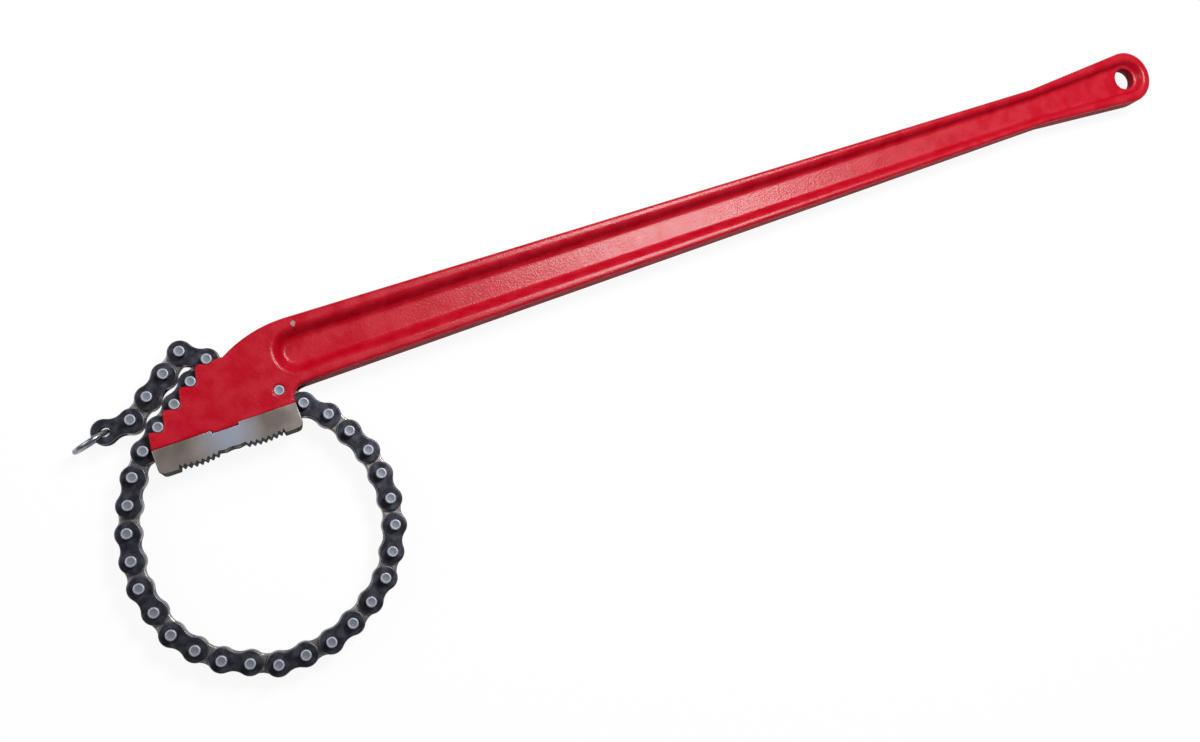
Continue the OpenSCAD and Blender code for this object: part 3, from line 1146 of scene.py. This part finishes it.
@dataclass
class Repeater:
    """A node tree that repeats one shape along a short row and sets it on a link."""

    INPUTS: ClassVar[dict[str, str]] = {
        "Shape": "NodeSocketGeometry",
        "Count": "NodeSocketInt",
        "Start": "NodeSocketVector",
        "Step": "NodeSocketVector",
        "Place": "NodeSocketVector",
        "Heading": "NodeSocketFloat",
        "Finish": "NodeSocketMaterial",
    }

    name: str
    flip: bool
    sockets: dict[str, str] = field(init=False)
    tree: NodeTree = field(init=False)

    def __post_init__(self) -> None:
        """Builds the tree once."""
        self.tree = tree = bpy.data.node_groups.new(self.name, "GeometryNodeTree")
        face = tree.interface
        self.sockets = {
            label: face.new_socket(label, in_out="INPUT", socket_type=kind).identifier
            for label, kind in self.INPUTS.items()
        }
        face.new_socket("Pieces", in_out="OUTPUT", socket_type="NodeSocketGeometry")
        given = add_node(tree, "NodeGroupInput").outputs
        row = add_node(
            tree,
            "GeometryNodeMeshLine",
            {"Count": given["Count"], "Start Location": given["Start"], "Offset": given["Step"]},
        ).outputs["Mesh"]
        index = add_node(tree, "GeometryNodeInputIndex").outputs["Index"]
        turn = add_node(
            tree, "ShaderNodeMath", {0: index, 1: math.pi if self.flip else 0.0}, operation="MULTIPLY"
        ).outputs[0]
        spin = add_node(tree, "ShaderNodeCombineXYZ", {"X": turn}).outputs["Vector"]
        copies = add_node(
            tree,
            "GeometryNodeInstanceOnPoints",
            {"Points": row, "Instance": given["Shape"], "Rotation": spin},
        ).outputs["Instances"]
        heading = add_node(tree, "ShaderNodeCombineXYZ", {"Z": given["Heading"]}).outputs["Vector"]
        placed = add_node(
            tree,
            "GeometryNodeTransform",
            {"Geometry": copies, "Translation": given["Place"], "Rotation": heading},
        ).outputs["Geometry"]
        real = add_node(tree, "GeometryNodeRealizeInstances", {"Geometry": placed}).outputs["Geometry"]
        dressed = add_node(
            tree, "GeometryNodeSetMaterial", {"Geometry": real, "Material": given["Finish"]}
        ).outputs["Geometry"]
        add_node(tree, "NodeGroupOutput", {"Pieces": dressed})

    def make(self, name: str, shape: Mesh, crease_deg: float, **values: Any) -> Object:
        """Repeats a shape and settles the result.

        Args:
            name: Name of the new piece.
            shape: The shape to repeat.
            crease_deg: Edges that bend more than this stay sharp.
            values: A value for each input of the tree but the shape.

        Returns:
            The new piece.
        """
        piece = new_object(name, shape)
        modifier = piece.modifiers.new(self.name, "NODES")
        modifier.node_group = self.tree
        for label, value in values.items():
            modifier[self.sockets[label]] = value
        settle(piece, crease_deg)
        return piece


class LinkKind(Enum):
    """The two kinds of link that follow each other along the chain."""

    INNER = "inner"
    OUTER = "outer"


class Layer(NamedTuple):
    """Where a plate lies above the chain's middle plane, and how thick it is."""

    base: float
    thickness: float

    def middle(self) -> float:
        """Height of the middle of the plate."""
        return self.base + self.thickness / 2


@dataclass
class Chain:
    """The chain, from the hinge pin in the head to the last link with the ring."""

    finishes: dict[LinkKind, BareSteel | OxideSteel]
    pin_finish: RivetSteel
    inner_layer: Layer = Layer(0.1 * MM, 5 * MM)
    outer_layer: Layer = Layer(5.3 * MM, 4 * MM)
    run_clear: float = 0.08 * MM
    crease_deg: float = 35
    pins: list[Vector] = field(init=False)
    pitch: float = field(init=False)
    pairs: Repeater = field(init=False)
    row: Repeater = field(init=False)
    layers: dict[LinkKind, Layer] = field(init=False)
    materials: dict[LinkKind, Material] = field(init=False)
    pin_material: Material = field(init=False)
    shapes: dict[LinkKind, Mesh] = field(init=False)
    pin_shape: Mesh = field(init=False)

    def __post_init__(self) -> None:
        """Reads the pins' places from the joints and makes the shapes that repeat."""
        pin = Pin()
        self.pins = [Vector(joint["pos_m"]) for joint in frame["joints"]]
        self.pitch = (self.pins[1] - self.pins[0]).length
        self.pairs = Repeater("plates_on_both_sides", flip=True)
        self.row = Repeater("pins_in_a_row", flip=False)
        self.layers = {LinkKind.INNER: self.inner_layer, LinkKind.OUTER: self.outer_layer}
        self.materials = {kind: self.finishes[kind].build() for kind in LinkKind}
        self.pin_material = self.pin_finish.build()
        holes = {LinkKind.INNER: pin.radius + self.run_clear, LinkKind.OUTER: pin.radius}
        self.shapes = {
            kind: Plate(self.pitch, self.layers[kind].thickness, holes[kind]).mesh() for kind in LinkKind
        }
        self.pin_shape = pin.mesh()

    def heading(self, link: int) -> float:
        """Direction of a link in radians."""
        step = self.pins[link + 1] - self.pins[link]
        return math.atan2(step.y, step.x)

    def set_plates(self, link: int, kind: LinkKind) -> None:
        """Sets a link's two plates and ties them to the link's body.

        Args:
            link: The link's number from the hinge pin, from zero.
            kind: Which of the two kinds it is.
        """
        number = f"{link // 2 + 1:02d}"
        layer = self.layers[kind].middle()
        piece = self.pairs.make(
            f"{kind.value}_link_{number}_plates",
            self.shapes[kind].copy(),
            self.crease_deg,
            Count=2,
            Start=(0, 0, layer),
            Step=(0, 0, -2 * layer),
            Place=self.pins[link],
            Heading=self.heading(link),
            Finish=self.materials[kind],
        )
        body = f"{kind.value}_link_{number}"
        hand_over(piece, body, self.finishes[kind].slot, f"{kind.value}_plates_{number}")

    def set_pins(self, name: str, link: int, count: int, body: str, node: str) -> None:
        """Sets pins along a link and ties them to a body.

        Args:
            name: Name of the new piece.
            link: The link whose first hole gets the first pin.
            count: How many pins.
            body: The body that carries them.
            node: The solid that they stand for.
        """
        piece = self.row.make(
            name,
            self.pin_shape.copy(),
            self.crease_deg,
            Count=count,
            Start=(0, 0, 0),
            Step=(self.pitch, 0, 0),
            Place=self.pins[link],
            Heading=self.heading(link),
            Finish=self.pin_material,
        )
        hand_over(piece, body, self.pin_finish.slot, node)

    def build(self) -> None:
        """Makes, dresses and ties every link and the hinge pin."""
        links = len(self.pins) - 1
        self.set_pins("head_hinge_pin", 0, 1, ROOT_BODY, "hinge_pin")
        for link in range(links):
            kind = LinkKind.OUTER if link % 2 else LinkKind.INNER
            self.set_plates(link, kind)
            if kind is LinkKind.OUTER:
                number = f"{link // 2 + 1:02d}"
                body = f"outer_link_{number}"
                # The ring takes the place of a pin in the last link's second hole
                count = 1 if link == links - 1 else 2
                self.set_pins(f"{body}_pins", link, count, body, f"link_pins_{number}")


@dataclass
class PullRing:
    """The wire ring that hangs in the last link."""

    finish: BareSteel
    crease_deg: float = 60

    def build(self) -> None:
        """Dresses the ring's own solid with a smooth skin and ties it."""
        piece = RoundedCopy("wire_pull_ring", "pull_ring", 0.0, lambda edge: 0.0, self.crease_deg).build()
        piece.data.materials.append(self.finish.build())
        hand_over(piece, "ring", self.finish.slot, "pull_ring")


@dataclass(frozen=True)
class Lamp:
    """A square soft lamp that hangs in one place and points at another."""

    name: str
    place: Place
    target: Place
    size: float
    watts: float

    def hang(self) -> None:
        """Puts the lamp into the scene."""
        data = bpy.data.lights.new(self.name, "AREA")
        data.shape = "SQUARE"
        data.size = self.size
        data.energy = self.watts
        lamp = bpy.data.objects.new(self.name, data)
        bpy.context.scene.collection.objects.link(lamp)
        lamp.location = self.place
        sight = Vector(self.target) - Vector(self.place)
        lamp.rotation_euler = sight.to_track_quat("-Z", "Y").to_euler()


@dataclass
class Studio:
    """A pale floor, soft lamps and a camera where the photograph was taken from."""

    floor_colour: str = "#F4F4F4"
    # The share that glows. The rest is lit by the lamps and shows the shadow.
    floor_glow: float = 0.92
    floor_reach: float = 20.0
    floor_gap: float = 0.3 * MM
    world_colour: str = "#FFFFFF"
    world_strength: float = 0.16
    key: Lamp = Lamp("key", (0.1, 0.5, 1.8), (-0.7, 0.0, 0.0), size=0.7, watts=47)
    fill: Lamp = Lamp("fill", (-2.4, 1.1, 1.5), (-1.0, -0.1, 0.0), size=1.4, watts=19)
    # Fitted to the photograph, so that all the chain's pitches come out equal
    frame_width_px: float = 1200
    focal_px: float = 1250
    sensor_mm: float = 36
    camera_place: Place = (-1.07195, -0.18782, 1.22381)
    look: Place = (0.27229, 0.05647, -0.96056)
    up: Place = (0.32404, 0.93458, 0.14680)

    def floor_material(self) -> Material:
        """Makes the floor's material: white to the camera and in reflections, with the object's shadow.

        Returns:
            The material.
        """
        material = bpy.data.materials.new("pale floor")
        material.use_nodes = True
        tree = material.node_tree
        tree.nodes.clear()
        path = add_node(tree, "ShaderNodeLightPath").outputs
        seen = add_node(
            tree,
            "ShaderNodeMath",
            {0: path["Is Camera Ray"], 1: path["Is Glossy Ray"]},
            operation="MAXIMUM",
        ).outputs[0]
        shown = add_node(
            tree, "ShaderNodeMath", {0: seen, 1: path["Is Transmission Ray"]}, operation="MAXIMUM"
        ).outputs[0]
        matt = add_node(
            tree, "ShaderNodeBsdfDiffuse", {"Color": linear(self.floor_colour)}
        ).outputs["BSDF"]
        glow = add_node(tree, "ShaderNodeEmission", {"Strength": 1.0}).outputs["Emission"]
        white = add_node(
            tree, "ShaderNodeMixShader", {0: self.floor_glow, 1: matt, 2: glow}
        ).outputs["Shader"]
        mixed = add_node(tree, "ShaderNodeMixShader", {0: shown, 1: matt, 2: white}).outputs["Shader"]
        add_node(tree, "ShaderNodeOutputMaterial", {"Surface": mixed})
        return material

    def lay_floor(self) -> None:
        """Lays the floor just under the object's lowest point."""
        height = CAD_BOX[0][2] - self.floor_gap
        reach = self.floor_reach
        corners = [(x * reach, y * reach, height) for x, y in ((-1, -1), (1, -1), (1, 1), (-1, 1))]
        mesh = bpy.data.meshes.new("floor")
        mesh.from_pydata(corners, [], [(0, 1, 2, 3)])
        mesh.materials.append(self.floor_material())
        new_object("floor", mesh)

    def set_camera(self) -> None:
        """Sets the camera from its place, its line of sight and its upward direction."""
        data = bpy.data.cameras.new("camera")
        data.sensor_fit = "HORIZONTAL"
        data.sensor_width = self.sensor_mm
        data.lens = self.focal_px / self.frame_width_px * self.sensor_mm
        camera = bpy.data.objects.new("camera", data)
        bpy.context.scene.collection.objects.link(camera)
        back = -Vector(self.look).normalized()
        right = Vector(self.up).cross(back).normalized()
        upward = back.cross(right)
        turn = Matrix((right, upward, back)).transposed().to_4x4()
        camera.matrix_world = Matrix.Translation(self.camera_place) @ turn
        bpy.context.scene.camera = camera

    def light_room(self) -> None:
        """Fills the room with even light."""
        world = bpy.data.worlds.new("room")
        world.use_nodes = True
        feed(
            world.node_tree,
            world.node_tree.nodes["Background"],
            {"Color": linear(self.world_colour), "Strength": self.world_strength},
        )
        bpy.context.scene.world = world

    def build(self) -> None:
        """Makes the floor, the light and the camera."""
        bpy.context.scene.view_settings.view_transform = "Standard"
        self.lay_floor()
        self.light_room()
        self.key.hang()
        self.fill.hang()
        self.set_camera()


def main() -> None:
    """Builds the studio and each sub-assembly in order."""
    logging.basicConfig(level=logging.INFO, format="%(name)s: %(message)s")
    Studio().build()
    Handle(ForgedPaint("red enamel on forged steel", "handle_paint")).build()
    Jaw(
        GroundSteel("ground tool steel", "jaw_steel"),
        OxideSteel("black oxide screw", "screw_steel"),
    ).build()
    Chain(
        {
            LinkKind.INNER: BareSteel("oiled rolled steel", "inner_plate_steel"),
            LinkKind.OUTER: OxideSteel("black oxide steel", "outer_plate_steel"),
        },
        RivetSteel("cropped pin steel", "pin_steel"),
    ).build()
    PullRing(
        BareSteel("bare wire", "ring_steel", clean="#A7A9B0", stained="#7C7E86", roughness=0.3)
    ).build()


if __name__ == "__main__":
    main()
